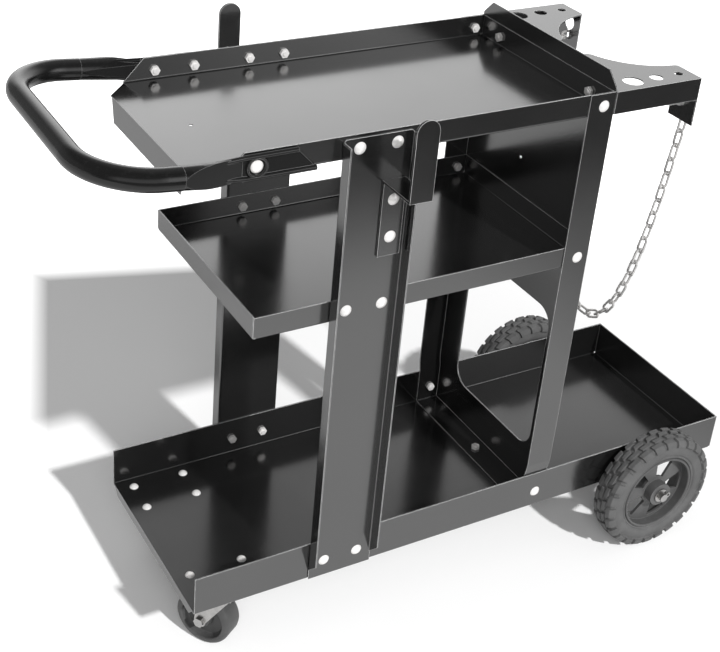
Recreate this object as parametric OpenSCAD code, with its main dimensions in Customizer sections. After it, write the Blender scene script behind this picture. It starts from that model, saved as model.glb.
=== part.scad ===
// A three-tray welding cart: folded sheet trays on two channel posts and a back panel,
// two wheels on a rear axle, two swivel casters, a bent tube handle, and brackets and
// a chain that hold a gas bottle. +X is the rear, -Y the near side, +Z is up.
// The origin is on the ground, midway along and across the cart.

/* [Trays] */
// Width of every tray over its side walls
tray_w = 266; // [240:1:300]
// Thickness of the folded sheet
sheet_t = 1.5; // [1:0.1:2]
// Inside radius of a fold
fold_r = 1.5; // [1:0.1:2.5]
// Open seam between two walls at a corner
seam = 0.8; // [0.4:0.1:1.5]
// Length of the bottom tray
bottom_l = 810; // [760:5:880]
// Height of the bottom tray's walls
bottom_h = 55; // [48:1:65]
// Height of the bottom tray's underside above the ground
bottom_z = 101; // [99:0.5:112]
// Depth of the bottom tray's front lip
bottom_lip = 10; // [6:1:16]
// Length of the middle tray
middle_l = 449; // [400:1:480]
// Height of the middle tray's walls
middle_h = 28; // [24:1:34]
// Height of the middle tray's underside above the ground
middle_z = 474; // [440:1:500]
// Length of the top tray with its nose
top_l = 520; // [480:1:560]
// Height of the top tray's walls
top_h = 28; // [24:1:34]
// Height of the top tray's underside above the ground
top_z = 673; // [640:1:700]
// Depth of the top tray's front lip
top_lip = 30; // [20:1:40]
// Length of the top tray's nose, ahead of its side walls
nose_l = 26; // [18:1:34]
// Width of the nose at its front edge
nose_w = 204; // [170:1:220]
// Slant of the side walls' front ends, along the tray
wall_slant = 26; // [15:1:35]
// Diameter of the small hole in the top tray's floor
floor_hole_d = 5; // [3:0.5:8]

/* [Back panel] */
// Distance of the back panel behind the bottom tray's front edge
panel_at = 508; // [495:1:530]
// Height of the back panel above the top tray's walls
panel_rise = 21; // [15:1:30]
// Slant of the panel's top corners
panel_corner = 17; // [10:1:22]
// Width of the flanges folded forward at the panel's sides and foot
panel_flange = 35; // [32:1:42]
// Height of the step that brings the panel inside the bottom tray
joggle_h = 16; // [10:1:24]
// Width of the window in the panel
window_w = 178; // [150:1:200]
// Height of the window
window_h = 216; // [180:1:240]
// Height of the window's sill above the bottom tray's walls
window_sill = 5; // [3:1:12]
// Corner radius of the window
window_r = 25; // [15:1:35]
// Diameter of the small hole in the panel
panel_hole_d = 4; // [3:0.5:6]

/* [Posts] */
// Distance of the posts' middle behind the top tray's front edge
post_at = 207; // [200:1:215]
// Width of a post over its flanges
post_w = 88; // [84:1:100]
// Depth of a post over its flanges
post_d = 18; // [14:1:24]
// Depth of the posts' top edge below the top tray's rim
post_drop = 4; // [2:1:8]
// Height of the flanges' lower ends above the web's
post_heel = 15; // [8:1:24]

/* [Fasteners] */
// Diameter of the bolts
bolt_d = 6; // [5:0.5:7]
// Diameter of a domed bolt head
bolt_head_d = 14.5; // [13:0.5:16]
// Height of a domed bolt head
bolt_head_h = 3.4; // [2.6:0.2:4]
// Width of a nut across its corners
nut_w = 12; // [11:0.5:14]
// Height of a nut
nut_h = 4; // [3.5:0.5:6]
// Length of a bolt beyond its nut
bolt_end = 1; // [1:0.5:3]
// Diameter of the caster screws
screw_d = 6; // [5:0.5:7]
// Diameter of a caster screw's domed head
screw_head_d = 12; // [10:0.5:13]
// Height of a caster screw's domed head
screw_head_h = 4; // [3:0.5:5]
// Width of a caster screw's nut across its corners
screw_nut_w = 11.5; // [10:0.5:13]
// Spacing of the bolt pairs on a post
bolt_pitch = 46; // [44:1:50]
// Height of the bolts above the underside of a shallow tray
bolt_up = 12; // [11:0.5:14]
// Height of the bolts above the underside of the bottom tray
bottom_bolt_up = 24; // [20:1:30]

/* [Cable hooks] */
// Width of a hook's strap
hook_w = 28; // [22:1:32]
// Thickness of a hook's strap
hook_t = 3; // [2:0.5:4]
// Reach of a hook from its post to the outside of its tongue
hook_reach = 55; // [45:1:70]
// Height of a hook's shelf above the middle tray's underside
hook_up = 168; // [150:1:180]
// Height of the strap below the shelf
hook_leg = 93; // [80:1:110]
// Height of the tongue above the shelf
hook_tongue = 91; // [70:1:110]
// Spacing of a hook's two bolts
hook_pitch = 46; // [40:1:55]

/* [Handle] */
// Diameter of the handle's tube
handle_d = 25; // [22:1:28]
// Wall of the handle's tube
handle_wall = 1.5; // [1.2:0.1:2.5]
// Distance of the handle's middle line ahead of the top tray's front edge
handle_reach = 110; // [95:1:138]
// Rise of the handle from its ends to its front, in degrees
handle_rise = 5.5; // [4:0.5:7]
// Bend radius of the handle's middle line
handle_bend = 70; // [55:1:85]
// Length of a flattened end along its upper edge
flat_l = 62; // [58:1:66]
// Slant of a flattened end's rear edge, along the cart
flat_slant = 22; // [15:1:26]
// Diameter of the rolls along a flattened end's two edges
flat_roll = 6; // [5:0.5:7]
// Length over which the tube flattens
flare_l = 70; // [60:1:78]
// Distance of the flattened ends' front edge behind the top tray's front edge
flat_at = 48; // [44:1:56]
// Distance of the front bolt behind a flattened end's front edge
handle_bolt_at = 16; // [13:0.5:20]
// Spacing of the two bolts on the far side
handle_pitch = 49; // [46:1:50]

/* [Bottle brackets] */
// Length of a bracket behind the back panel
bracket_l = 127; // [118:1:140]
// Width of a bracket's rear end
bracket_end_w = 42; // [36:1:50]
// Depth of a bracket's side flange
bracket_side_h = 28; // [24:1:34]
// Depth of a bracket's end flange
bracket_end_h = 62; // [55:1:70]
// Radius of the bottle that the brackets go round
bottle_r = 92; // [84:1:94]
// Distance of the bottle's middle behind the brackets' rear ends
bottle_at = 6; // [2:1:12]
// Gap between the two brackets beside the panel
bracket_gap = 50; // [30:1:70]
// Diameters of the three holes in a bracket, front to rear
rod_hole_ds = [25, 17, 11];
// Diameter of the round end of a keyhole
keyhole_d = 19; // [17:0.5:22]
// Width of a keyhole's slot
keyhole_slot = 5; // [4.5:0.1:6]
// Height from a keyhole's round end to the end of its slot
keyhole_l = 24; // [20:1:28]

/* [Chain] */
// Diameter of the chain's wire
wire_d = 3.2; // [2.8:0.1:3.6]
// Length of chain that one link adds, before whole links are counted
link_pitch = 21; // [19:0.5:24]
// Width of a link over its wire
link_w = 13; // [12:0.5:15]
// Play between two links
link_play = 0.5; // [0.3:0.05:0.8]
// Depth of the hanging chain's lowest point below its ends
chain_sag = 365; // [250:5:400]

/* [Rear wheels] */
// Diameter of a rear wheel
wheel_d = 178; // [170:1:190]
// Width of a tyre
tyre_w = 37; // [32:1:42]
// Depth of a tyre from tread to bead
tyre_depth = 32; // [28:1:36]
// Depth of the grooves between the tread blocks
tread_depth = 4; // [3:0.5:6]
// Number of tread blocks on each shoulder
tread_n = 26; // [20:2:32]
// Length of a wheel's hub
hub_l = 40; // [38:1:46]
// Diameter of a wheel's hub
hub_d = 34; // [30:1:40]
// Diameter of the rear axle
axle_d = 12; // [10:0.5:14]
// Distance of the rear axle behind the bottom tray's front edge
axle_at = 683; // [650:1:700]
// Gap between a tray wall and its wheel
wheel_gap = 4; // [3:0.5:8]
// Number of openings in a rim
spoke_n = 5; // [3:1:6]

/* [Casters] */
// Diameter of a caster's wheel
caster_d = 76; // [68:1:80]
// Width of a caster's wheel
caster_w = 32; // [26:1:36]
// Distance of the swivel pins behind the bottom tray's front edge
caster_at = 57; // [54:1:70]
// Distance of a caster's swivel pin inside the tray's side
caster_inset = 41; // [39:1:49]
// Distance of a caster's axle ahead of its swivel pin
caster_trail = 20; // [14:1:26]
// Turn of the near caster about its swivel pin from trailing forwards, in degrees
near_caster_turn = -57; // [-180:1:180]
// Turn of the far caster about its swivel pin from trailing forwards, in degrees
far_caster_turn = 180; // [-180:1:180]
// Spacing of a caster's bolts along the cart
caster_pitch_x = 70; // [66:1:74]
// Spacing of a caster's bolts across the cart
caster_pitch_y = 45; // [42:1:48]
// Margin of a caster's plate round its bolts
caster_margin = 10; // [9:0.5:12]
// Thickness of a caster's plate and fork
caster_t = 3; // [2.5:0.5:4]
// Diameter of a caster's ball race
race_d = 46; // [40:1:50]
// Diameter of a caster's axle bolt and of its swivel pin
pin_d = 8; // [7:0.5:9]

/* [Hidden] */

// Facets of round edges, of large rounds and of a link's small bends
$fn = 64;
coarse_fn = 32;

// Overrun of every cut
over = 1;
// Radial play of a bolt in its hole, of a turning fit and of a nut on its thread
hole_play = 0.3;
run_play = 0.05;
thread_play = 0.05;
// Play between flat faces that turn past each other
face_play = 0.3;

near = -1;
far = 1;
half_w = tray_w / 2;
fold_out = fold_r + sheet_t;
hole_r = bolt_d / 2 + hole_play;
screw_hole_r = screw_d / 2 + hole_play;

// X of the bottom tray's front edge
front_x = (handle_reach + handle_d / 2 + top_l - panel_at - bottom_l) / 2;
panel_x = front_x + panel_at;
panel_back_x = panel_x + sheet_t;
axle_x = front_x + axle_at;
axle_z = wheel_d / 2;
middle_x = panel_x - middle_l;
top_x = panel_x - top_l;
flat_x = top_x + flat_at;
post_x = top_x + post_at;
top_rim_z = top_z + top_h;
bottom_rim_z = bottom_z + bottom_h;
bottom_floor_z = bottom_z + sheet_t;
bolt_zs = [bottom_z + bottom_bolt_up, middle_z + bolt_up, top_z + bolt_up];
post_bolt_xs = [for (s = [-1, 1]) post_x + s * bolt_pitch / 2];
// Place of the side bolts behind a panel flange's fold, as a share of its width
panel_bolt_share = 0.4;
panel_bolt_x = panel_x - panel_flange * panel_bolt_share;
// The near end is held by its front bolt alone
function handle_bolt_xs(side) =
    let (first = flat_x + handle_bolt_at)
    side == near ? [first] : [first, first + handle_pitch];
handle_bolt_z = top_z + bolt_up;
post_face_y = half_w + sheet_t;

// The foot of the back panel stands inside the bottom tray's walls
foot_half_w = half_w - sheet_t;
foot_x = panel_x - panel_flange / 2;

// A cable hook shares the outer bolt column of its post, so one post turned half round makes the other
function hook_x(side) = post_x - side * bolt_pitch / 2;
hook_z = middle_z + hook_up;
hook_bolt_zs = [for (s = [-1, 1]) hook_z - hook_leg / 2 + s * hook_pitch / 2];

bracket_top_z = top_rim_z;
bracket_end_x = panel_back_x + bracket_l;
// Place of a bracket's bolt, as a share of the tray's half width
bracket_bolt_share = 0.69;
bracket_bolt_y = half_w * bracket_bolt_share;
bracket_y = half_w + 2 * sheet_t;
bottle_x = bracket_end_x + bottle_at;
keyhole_y = bracket_y - bracket_end_w / 2;
// Place of a keyhole's round end below the bracket's top, as a share of its side flange
keyhole_share = 0.68;
keyhole_z = bracket_top_z - bracket_side_h * keyhole_share;

// Half length of a link from its middle to its end wire's middle, and the bend's radius
link_bend = (link_w - wire_d) / 2;
anchor_z = keyhole_z - keyhole_l + (wire_d + link_play) / 2 + link_bend;
// The chain hangs from the outer ends of the two links that stand through the keyholes
chain_x = bracket_end_x + wire_d + link_bend;
chain_z = anchor_z - link_bend + wire_d / 2;
chain_half_span = keyhole_y;

// Half difference that closes on the catenary's constant: a * (cosh(b / a) - 1) = sag
function cosh(v) = (exp(v) + exp(-v)) / 2;
function sinh(v) = (exp(v) - exp(-v)) / 2;
function asinh(v) = ln(v + sqrt(v * v + 1));
function sag_of(a) = a * (cosh(chain_half_span / a) - 1);
function catenary(lo, hi, step) =
    step == 0 ? (lo + hi) / 2 :
    sag_of((lo + hi) / 2) > chain_sag ?
        catenary((lo + hi) / 2, hi, step - 1) :
        catenary(lo, (lo + hi) / 2, step - 1);
// Halvings of the chain curve's range until its sag fits
halvings = 40;
cat_a = catenary(chain_half_span / 8, chain_half_span * 4, halvings);
chain_arc = 2 * cat_a * sinh(chain_half_span / cat_a);
link_n = 2 * floor(chain_arc / link_pitch / 2) + 1;
pitch = chain_arc / link_n;
link_half = (pitch + wire_d + link_play) / 2;
function chain_joint(i) =
    let (s = (i - link_n / 2) * pitch, y = cat_a * asinh(s / cat_a))
    [y, chain_z - chain_sag - cat_a + cat_a * cosh(y / cat_a)];

wheel_in_y = half_w + wheel_gap;
hub_mid_y = wheel_in_y + hub_l / 2;
hub_out_y = wheel_in_y + hub_l;
rim_r = wheel_d / 2 - tyre_depth;
washer_t = 2;
washer_w = 4;
cotter_d = 2.4;
cotter_end = 1.5;
cotter_y = hub_out_y + washer_t + face_play * 2 + cotter_d / 2 + run_play;
axle_end_y = cotter_y + cotter_d * 2;
// Outer face of an axle angle, as a share of the tray's half width
axle_bracket_share = 0.86;
axle_bracket_y = half_w * axle_bracket_share;
axle_bracket_l = 60;
axle_bracket_t = 3;
axle_bracket_w = 25;
rim_wall = 4;

caster_x = front_x + caster_at;
caster_y = half_w - caster_inset;
caster_r = caster_d / 2;
caster_plate_z = bottom_z - caster_t;
race_h = 5;
fork_top_z = caster_plate_z - race_h - face_play;
// Gap between a caster's wheel and each leg of its fork
fork_gap = 1;
fork_in_w = caster_w + 2 * fork_gap;
fork_w = fork_in_w + 2 * caster_t;
bush_wall = 2.5;
bush_r = pin_d / 2 + bush_wall;
caster_bolt_offsets = [for (sx = [-1, 1], sy = [-1, 1]) [sx * caster_pitch_x / 2, sy * caster_pitch_y / 2]];

powder = "#1c1c1e";
zinc = "#c9c9c4";
black_plastic = "#202022";
rubber = "#3a3a3b";

// Lays a flat shape in the plane across the cart and draws it out along +X
module along_x(l) { rotate([90, 0, 90]) linear_extrude(l) children(); }

// Lays a flat shape in the plane along the cart and draws it out across it, middled
module across(w) { rotate([90, 0, 0]) linear_extrude(w, center = true) children(); }

// A rod across the cart from y = 0 towards +Y
module rod_y(r, l) { rotate([-90, 0, 0]) cylinder(r = r, h = l); }

// Rectangle on its lower edge with its two lower corners rounded
module rounded_foot(w, h, r) {
    translate([-w / 2 + r, 0]) square([w - 2 * r, h]);
    translate([-w / 2, r]) square([w, h - r]);
    for (s = [-1, 1]) translate([s * (w / 2 - r), r]) circle(r);
}

// Section of a folded channel: a floor with two walls
module channel_2d(w, h) {
    difference() {
        rounded_foot(w, h, fold_out);
        translate([0, sheet_t]) rounded_foot(w - 2 * sheet_t, h, fold_r);
    }
}

// Rectangle with four round corners, middled
module rounded_2d(w, h, r) {
    square([w - 2 * r, h], center = true);
    square([w, h - 2 * r], center = true);
    for (sx = [-1, 1], sy = [-1, 1]) translate([sx * (w / 2 - r), sy * (h / 2 - r)]) circle(r);
}

// Trapezium that hangs from its upper edge, with slanted ends
module lip_2d(w, h, slant) {
    polygon([[-w / 2, 0], [w / 2, 0], [w / 2 - slant, -h], [-w / 2 + slant, -h]]);
}

// A tray's end: a floor and one or two end walls between the side walls
module tray_ends(l, h, first_wall) {
    across(tray_w - 2 * sheet_t - 2 * seam)
        difference() {
            translate([l / 2, 0]) channel_2d(l, h);
            if (!first_wall) translate([-over, -over]) square([fold_out + over, h + 2 * over]);
        }
}

// The outer strips of the side walls, past the ends' folds
module wall_tips(l, h) {
    for (s = [-1, 1])
        translate([0, s * (half_w - sheet_t / 2) - sheet_t / 2, fold_out])
            cube([l, sheet_t, h - fold_out]);
}

// Bolt holes at one height through one side of the cart, out to its posts
module side_holes_on(side, xs, z) {
    for (x = xs)
        translate([x, side * half_w, z]) rotate([90, 0, 0])
            cylinder(r = hole_r, h = 2 * post_d, center = true);
}

// The same holes through both sides
module side_holes(xs, z) {
    for (s = [near, far]) side_holes_on(s, xs, z);
}

module bottom_tray() {
    color(powder) difference() {
        translate([front_x, 0, bottom_z]) {
            along_x(bottom_l - fold_out) channel_2d(tray_w, bottom_h);
            tray_ends(bottom_l, bottom_h, false);
            wall_tips(bottom_l, bottom_h);
            along_x(sheet_t) translate([0, sheet_t])
                lip_2d(tray_w - 4 * fold_out, bottom_lip + sheet_t, bottom_lip);
        }
        side_holes(post_bolt_xs, bolt_zs[0]);
        side_holes([panel_bolt_x], bolt_zs[0]);
        for (s = [near, far], o = caster_bolt_offsets)
            translate([caster_x + o[0], s * caster_y + o[1], bottom_z - over])
                cylinder(r = screw_hole_r, h = sheet_t + 2 * over);
        translate([foot_x, 0, bottom_z - over]) cylinder(r = hole_r, h = sheet_t + 2 * over);
    }
}

module middle_tray() {
    color(powder) difference() {
        translate([middle_x, 0, middle_z]) {
            translate([fold_out, 0, 0]) along_x(middle_l - 2 * fold_out) channel_2d(tray_w, middle_h);
            tray_ends(middle_l, middle_h, true);
            wall_tips(middle_l, middle_h);
        }
        side_holes(post_bolt_xs, bolt_zs[1]);
        side_holes([panel_bolt_x], bolt_zs[1]);
    }
}

module top_tray() {
    color(powder) difference() {
        translate([top_x, 0, top_z]) {
            difference() {
                union() {
                    translate([nose_l, 0, 0])
                        along_x(top_l - nose_l - fold_out) channel_2d(tray_w, top_h);
                    translate([nose_l, 0, 0]) tray_ends(top_l - nose_l, top_h, false);
                    translate([nose_l, 0, 0]) wall_tips(top_l - nose_l, top_h);
                }
                across(tray_w + 2 * over)
                    polygon([[nose_l - over, sheet_t], [nose_l, sheet_t], [nose_l + wall_slant, top_h + over],
                             [nose_l - over, top_h + over]]);
            }
            linear_extrude(sheet_t)
                polygon([[0, -nose_w / 2], [0, nose_w / 2], [nose_l, half_w - fold_out],
                         [nose_l + fold_out, 0], [nose_l, -half_w + fold_out]]);
            along_x(sheet_t) translate([0, sheet_t]) lip_2d(nose_w - 2 * fold_out, top_lip, fold_out * 2);
        }
        side_holes(post_bolt_xs, bolt_zs[2]);
        side_holes([panel_bolt_x], bolt_zs[2]);
        for (s = [near, far]) side_holes_on(s, handle_bolt_xs(s), handle_bolt_z);
        for (s = [near, far])
            translate([panel_x - sheet_t - over, s * bracket_bolt_y, bolt_zs[2]])
                rotate([0, 90, 0]) cylinder(r = hole_r, h = sheet_t + 2 * over);
        translate([top_x + 2 * nose_l, 0, top_z - over]) cylinder(d = floor_hole_d, h = sheet_t + 2 * over);
    }
}

// Half outline of the back panel from its foot to its top: distance from the middle, and height
joggle_z = bottom_rim_z + sheet_t;
panel_top_z = top_rim_z + panel_rise;
foot_z = bottom_floor_z + sheet_t + seam;
foot_flange_half_w = foot_half_w - sheet_t - seam;
panel_side = [[foot_half_w, foot_z], [foot_half_w, joggle_z], [post_face_y, joggle_z + joggle_h],
              [post_face_y, panel_top_z - panel_corner], [post_face_y - panel_corner, panel_top_z]];
function mirrored(points) =
    concat(points, [for (i = [len(points) - 1 : -1 : 0]) [-points[i][0], points[i][1]]]);

// Section of a side flange, which steps inward to go inside the bottom tray
flange_top_z = top_rim_z;

module side_flange_2d() {
    outer = [panel_side[0], panel_side[1], panel_side[2], [post_face_y, flange_top_z]];
    inner = [for (i = [3 : -1 : 0]) [outer[i][0] - sheet_t, outer[i][1]]];
    polygon(concat(outer, inner));
}

// Place of the small hole beside the panel's middle, as a share of the window's width
panel_hole_share = 0.1;
module back_panel() {
    color(powder) difference() {
        union() {
            translate([panel_x, 0, 0]) along_x(sheet_t)
                polygon(mirrored(concat([[foot_flange_half_w, bottom_floor_z]], panel_side)));
            for (m = [0, 1]) mirror([0, m, 0]) translate([panel_x - panel_flange, 0, 0])
                along_x(panel_flange + sheet_t) side_flange_2d();
            translate([panel_x - panel_flange, -foot_flange_half_w, bottom_floor_z])
                cube([panel_flange + sheet_t, 2 * foot_flange_half_w, sheet_t]);
        }
        translate([panel_x - over, 0, bottom_rim_z + window_sill + window_h / 2])
            along_x(sheet_t + 2 * over) rounded_2d(window_w, window_h, window_r);
        for (z = bolt_zs) side_holes([panel_bolt_x], z);
        for (s = [near, far])
            translate([panel_x - over, s * bracket_bolt_y, bolt_zs[2]])
                rotate([0, 90, 0]) cylinder(r = hole_r, h = sheet_t + 2 * over);
        translate([panel_x - over, window_w * panel_hole_share, (middle_z + top_z) / 2 - 2 * bolt_up])
            rotate([0, 90, 0]) cylinder(d = panel_hole_d, h = sheet_t + 2 * over);
        translate([foot_x, 0, bottom_floor_z - over]) cylinder(r = hole_r, h = sheet_t + 2 * over);
    }
}

// One post, on the far side; the near post is the same part turned half round
post_top_z = top_rim_z - post_drop;
module post() {
    difference() {
        translate([0, half_w, bottom_z]) linear_extrude(post_top_z - bottom_z) channel_2d(post_w, post_d);
        // The flanges' lower ends stop short, with a slanted heel
        translate([-post_w / 2 - over, 0, bottom_z]) rotate([90, 0, 90]) linear_extrude(post_w + 2 * over)
            polygon([[half_w + sheet_t, -over], [half_w + post_d + over, -over],
                     [half_w + post_d + over, post_heel + post_d], [half_w + sheet_t, post_heel]]);
        // The upper corners are slanted
        for (m = [0, 1]) mirror([m, 0, 0])
            translate([0, half_w + post_d + over, 0]) rotate([90, 0, 0]) linear_extrude(post_d + 2 * over)
                polygon([[post_w / 2 + over, post_top_z + over],
                         [post_w / 2 - post_drop - over, post_top_z + over],
                         [post_w / 2 + over, post_top_z - post_drop - over]]);
        for (x = [-1, 1], z = bolt_zs)
            translate([x * bolt_pitch / 2, half_w - over, z]) rod_y(hole_r, sheet_t + 2 * over);
        for (z = hook_bolt_zs)
            translate([-bolt_pitch / 2, half_w - over, z]) rod_y(hole_r, sheet_t + 2 * over);
    }
}

module near_post() { color(powder) translate([post_x, 0, 0]) rotate([0, 0, 180]) post(); }
module far_post() { color(powder) translate([post_x, 0, 0]) post(); }

// A strap bolted flat to its post, bent out into a shelf and up into a round tongue
module cable_hook(side) {
    tongue_y = post_face_y + hook_reach;
    translate([hook_x(side), 0, hook_z]) mirror([0, side == near ? 1 : 0, 0]) difference() {
        union() {
            translate([-hook_w / 2, post_face_y, -hook_leg]) cube([hook_w, hook_t, hook_leg]);
            translate([-hook_w / 2, post_face_y, -hook_t]) cube([hook_w, hook_reach, hook_t]);
            translate([-hook_w / 2, tongue_y - hook_t, -hook_t])
                cube([hook_w, hook_t, hook_tongue + hook_t - hook_w / 2]);
            translate([0, tongue_y - hook_t, hook_tongue - hook_w / 2])
                rod_y(hook_w / 2, hook_t);
        }
        for (z = hook_bolt_zs)
            translate([0, post_face_y - over, z - hook_z]) rod_y(hole_r, hook_t + 2 * over);
    }
}

module near_cable_hook() { color(powder) cable_hook(near); }
module far_cable_hook() { color(powder) cable_hook(far); }

// The handle lies in a plane that tips up towards its front about the line where its ends flatten
handle_y = half_w + handle_d / 2;
handle_tip_x = flat_x - flare_l;
handle_tip_z = handle_bolt_z + flare_l * tan(handle_rise);
handle_run = (handle_reach + flat_at - flare_l) / cos(handle_rise);
flat_t = 2 * handle_wall;
// Room between a bolt head and the roll above or below it
flat_room = 1.5;
flat_h = bolt_head_d + 2 * (flat_roll + flat_room);
// How far the flare's faces stay inside the tube, the web and the rolls that they run into
flare_inset = 0.3;

module handle_core(r) {
    translate([handle_tip_x, 0, handle_tip_z]) rotate([0, handle_rise, 0]) {
        for (s = [-1, 1]) {
            translate([0, s * handle_y, 0]) rotate([0, -90, 0])
                cylinder(r = r, h = handle_run - handle_bend);
            translate([-handle_run + handle_bend, s * (handle_y - handle_bend), 0])
                rotate([0, 0, s == 1 ? 90 : 180])
                    rotate_extrude(angle = 90) translate([handle_bend, 0]) circle(r);
        }
        translate([-handle_run, handle_bend - handle_y, 0]) rod_y(r, 2 * (handle_y - handle_bend));
    }
}

// The tube flares into a pressed web with a roll along its upper and its lower edge
module flat_end() {
    roll_y = half_w + flat_roll / 2 + flare_inset;
    roll_z = (flat_h - flat_roll) / 2;
    flare_end = flare_l + flat_roll;
    translate([flat_x, half_w + flat_t / 2, handle_bolt_z]) across(flat_t)
        polygon([[0, -roll_z], [flat_l + flat_slant, -roll_z], [flat_l, roll_z], [0, roll_z]]);
    for (s = [-1, 1])
        translate([flat_x, roll_y, handle_bolt_z + s * roll_z]) rotate([0, 90, 0])
            cylinder(d = flat_roll, h = flat_l + (1 - s) / 2 * flat_slant);
    intersection() {
        translate([handle_tip_x, handle_y, handle_tip_z]) rotate([0, 90 + handle_rise, 0])
            cylinder(d1 = handle_d - 2 * flare_inset, d2 = flat_h, h = flare_end);
        translate([handle_tip_x, half_w, handle_bolt_z - flat_h]) linear_extrude(2 * flat_h)
            polygon([[-flat_roll, flare_inset], [flare_end, flare_inset], [flare_end, flat_t - flare_inset],
                     [flare_l, flat_t - flare_inset], [-flare_inset, handle_d - flare_inset],
                     [-flat_roll, handle_d - flare_inset]]);
    }
    // The flare grips the tube's wall by half its thickness
    translate([handle_tip_x, handle_y, handle_tip_z]) rotate([0, 90 + handle_rise, 0])
        translate([0, 0, -flat_roll]) cylinder(d = handle_d - handle_wall, h = flat_roll + flare_inset);
    for (s = [-1, 1]) {
        from = [flat_x + flat_roll / 2, roll_y, handle_bolt_z + s * roll_z];
        to = [handle_tip_x + flare_inset, handle_y, handle_tip_z + s * (handle_d / 2 - flat_roll)];
        run = to - from;
        translate(from) rotate([0, acos(run.z / norm(run)), atan2(run.y, run.x)])
            cylinder(d = flat_roll - flare_inset, h = norm(run));
    }
}

module push_handle() {
    color(powder) {
        difference() {
            handle_core(handle_d / 2);
            handle_core(handle_d / 2 - handle_wall);
        }
        difference() {
            for (m = [0, 1]) mirror([0, m, 0]) flat_end();
            for (s = [near, far]) side_holes_on(s, handle_bolt_xs(s), handle_bolt_z);
        }
    }
}

// Plan of a bracket's top plate on the +Y side, hollowed by the bottle
module bracket_plan() {
    difference() {
        polygon([[panel_back_x, bracket_gap / 2], [bottle_x - bottle_r, bracket_gap / 2],
                 [bracket_end_x, bracket_y - bracket_end_w], [bracket_end_x, bracket_y],
                 [panel_back_x, bracket_y]]);
        translate([bottle_x, 0]) circle(bottle_r, $fn = $fn * 2);
    }
}

// Where the three holes stand: as shares of the bracket's length
rod_hole_shares = [0.31, 0.59, 0.86];

module bottle_bracket() {
    color(powder) difference() {
        union() {
            translate([0, 0, bracket_top_z - sheet_t]) linear_extrude(sheet_t) bracket_plan();
            translate([panel_back_x, bracket_y - sheet_t, bracket_top_z - bracket_side_h])
                cube([bracket_l, sheet_t, bracket_side_h]);
            translate([panel_back_x, bracket_gap / 2, bracket_top_z - bracket_side_h])
                cube([sheet_t, bracket_y - bracket_gap / 2, bracket_side_h]);
            translate([bracket_end_x - sheet_t, bracket_y - bracket_end_w, bracket_top_z - bracket_end_h])
                cube([sheet_t, bracket_end_w, bracket_end_h]);
        }
        for (i = [0 : len(rod_hole_ds) - 1])
            translate([panel_back_x + bracket_l * rod_hole_shares[i], keyhole_y,
                       bracket_top_z - sheet_t - over])
                cylinder(d = rod_hole_ds[i], h = sheet_t + 2 * over);
        translate([bracket_end_x - sheet_t - over, keyhole_y, keyhole_z]) along_x(sheet_t + 2 * over) {
            circle(d = keyhole_d);
            translate([-keyhole_slot / 2, -keyhole_l + keyhole_slot / 2])
                square([keyhole_slot, keyhole_l - keyhole_slot / 2]);
            translate([0, -keyhole_l + keyhole_slot / 2]) circle(d = keyhole_slot);
        }
        translate([panel_back_x - over, bracket_bolt_y, bolt_zs[2]])
            rotate([0, 90, 0]) cylinder(r = hole_r, h = sheet_t + 2 * over);
    }
}

module far_bottle_bracket() { bottle_bracket(); }
module near_bottle_bracket() { mirror([0, 1, 0]) bottle_bracket(); }

// One link in the XZ plane, its length along X, middled
module link(half) {
    run = half - link_bend;
    for (s = [-1, 1]) {
        translate([s * run, 0, 0]) rotate([90, 0, 0]) rotate([0, 0, s == 1 ? -90 : 90])
            rotate_extrude(angle = 180) translate([link_bend, 0]) circle(d = wire_d, $fn = coarse_fn);
        translate([-run, 0, s * link_bend]) rotate([0, 90, 0])
            cylinder(d = wire_d, h = 2 * run, $fn = coarse_fn);
    }
}

// Two links a side: one stands through the keyhole's slot and one lies across it inside
module chain_end_links() {
    color(zinc) for (s = [near, far]) {
        through_x = chain_x - (link_half - link_bend);
        translate([through_x, s * keyhole_y, anchor_z]) link(link_half);
        translate([through_x - pitch, s * keyhole_y, anchor_z]) rotate([90, 0, 0]) link(link_half);
    }
}

module safety_chain() {
    color(zinc) for (i = [0 : link_n - 1]) {
        a = chain_joint(i);
        b = chain_joint(i + 1);
        translate([chain_x, (a[0] + b[0]) / 2, (a[1] + b[1]) / 2])
            rotate([atan2(b[1] - a[1], b[0] - a[0]), 0, 0]) rotate([0, 0, 90])
                rotate([i % 2 == 0 ? 0 : 90, 0, 0]) link(link_half);
    }
}

module rear_axle() {
    color(zinc) difference() {
        translate([axle_x, -axle_end_y, axle_z]) rod_y(axle_d / 2, 2 * axle_end_y);
        for (s = [near, far])
            translate([axle_x - axle_d, s * cotter_y, axle_z]) rotate([0, 90, 0])
                cylinder(r = cotter_d / 2 + run_play, h = 2 * axle_d);
    }
}

// An angle welded under the bottom tray, with the axle through its upright leg
module axle_bracket() {
    drop = bottom_z - axle_z + axle_d;
    translate([axle_x, axle_bracket_y, 0]) difference() {
        union() {
            translate([-axle_bracket_l / 2, -axle_bracket_w, bottom_z - axle_bracket_t])
                cube([axle_bracket_l, axle_bracket_w, axle_bracket_t]);
            translate([-axle_bracket_l / 2, -axle_bracket_t, bottom_z - drop])
                cube([axle_bracket_l, axle_bracket_t, drop]);
        }
        translate([0, -axle_bracket_w, axle_z]) rod_y(axle_d / 2 + run_play, axle_bracket_w + over);
    }
}

module far_axle_bracket() { color(powder) axle_bracket(); }
module near_axle_bracket() { color(powder) mirror([0, 1, 0]) axle_bracket(); }

// A ring round the axle, from y = from to y = to
module axle_ring(from, to, r) {
    translate([axle_x, from, axle_z]) difference() {
        rod_y(r, to - from);
        translate([0, -over, 0]) rod_y(axle_d / 2 + run_play, to - from + 2 * over);
    }
}

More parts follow.
